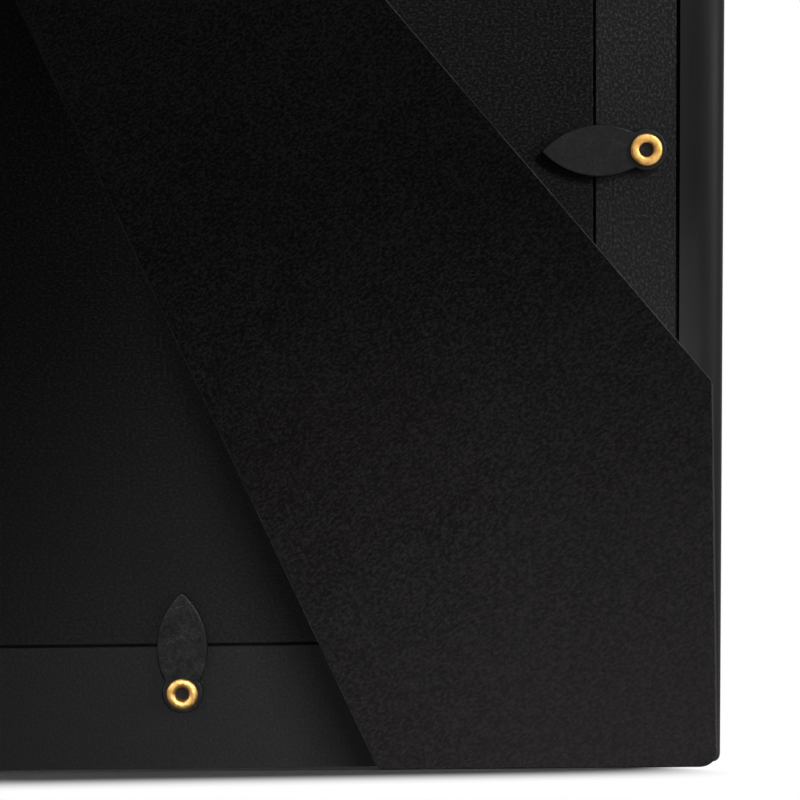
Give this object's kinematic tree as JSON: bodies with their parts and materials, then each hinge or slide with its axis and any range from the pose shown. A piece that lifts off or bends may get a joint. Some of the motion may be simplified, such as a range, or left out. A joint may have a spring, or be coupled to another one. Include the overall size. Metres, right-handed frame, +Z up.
{
  "type": "metal photo frame",
  "caption": "Black metal tabletop photo frame with a covered backboard, riveted turn buttons, a removable door and a slanted easel strut that folds flat.",
  "frame": {"origin": "on the table, midway between the two sides and midway between the frame's front and the strut's foot", "axes": "+X is the viewer's right seen from the front, +Y runs from the front to the back, where the strut stands, +Z is up"},
  "size_m": [0.168, 0.0884, 0.2123],
  "materials": {
    "black_metal": "satin black powder coat",
    "key_steel": "bare steel",
    "covered_board": "fibreboard covered in black embossed paper",
    "grey_card": "raw grey card",
    "white_paper": "plain uncoated paper",
    "clear_glass": "polished",
    "button_metal": "satin black coat",
    "eyelet_brass": "rolled, slightly rough"
  },
  "bodies": {
    "frame": {"rail_left": "black_metal", "rail_right": "black_metal", "rail_bottom": "black_metal", "rail_top": "black_metal", "corner_key_bottom_left": "key_steel", "corner_key_bottom_right": "key_steel", "corner_key_top_left": "key_steel", "corner_key_top_right": "key_steel", "backing_ring": "covered_board", "door_panel": "covered_board", "backing_card": "grey_card", "picture_sheet": "white_paper", "glass": "clear_glass", "eyelet_left": "eyelet_brass", "eyelet_right": "eyelet_brass", "eyelet_bottom": "eyelet_brass", "eyelet_top": "eyelet_brass", "hinge_door_leaf": "button_metal", "hinge_pin": "key_steel", "door_rivet_left": "button_metal", "door_rivet_right": "button_metal"},
    "strut": {"strut_board": "covered_board", "hinge_strut_leaf": "button_metal", "strut_rivet_left": "button_metal", "strut_rivet_right": "button_metal"},
    "button_left": {"turn_button_left": "button_metal"},
    "button_right": {"turn_button_right": "button_metal"},
    "button_bottom": {"turn_button_bottom": "button_metal"},
    "button_top": {"turn_button_top": "button_metal"}
  },
  "joints": [
    {"name": "strut_hinge", "type": "hinge", "parent": "frame", "child": "strut", "pos_m": [0.018, 0.0083, 0.14427], "axis": [0.8396, -0.1424, -0.5242], "range_deg": [-24.5, 0]},
    {"name": "button_left_turn", "type": "hinge", "parent": "frame", "child": "button_left", "pos_m": [-0.0715, -0.00684, 0.09253], "axis": [0, 0.965, -0.2622], "continuous": true},
    {"name": "button_right_turn", "type": "hinge", "parent": "frame", "child": "button_right", "pos_m": [0.0715, -0.00684, 0.09253], "axis": [0, 0.965, -0.2622], "continuous": true},
    {"name": "button_bottom_turn", "type": "hinge", "parent": "frame", "child": "button_bottom", "pos_m": [0.0008, -0.02879, 0.01176], "axis": [0, 0.965, -0.2622], "range_deg": [-120, 120]},
    {"name": "button_top_turn", "type": "hinge", "parent": "frame", "child": "button_top", "pos_m": [-0.0008, 0.02161, 0.19723], "axis": [0, 0.965, -0.2622], "continuous": true}
  ]
}
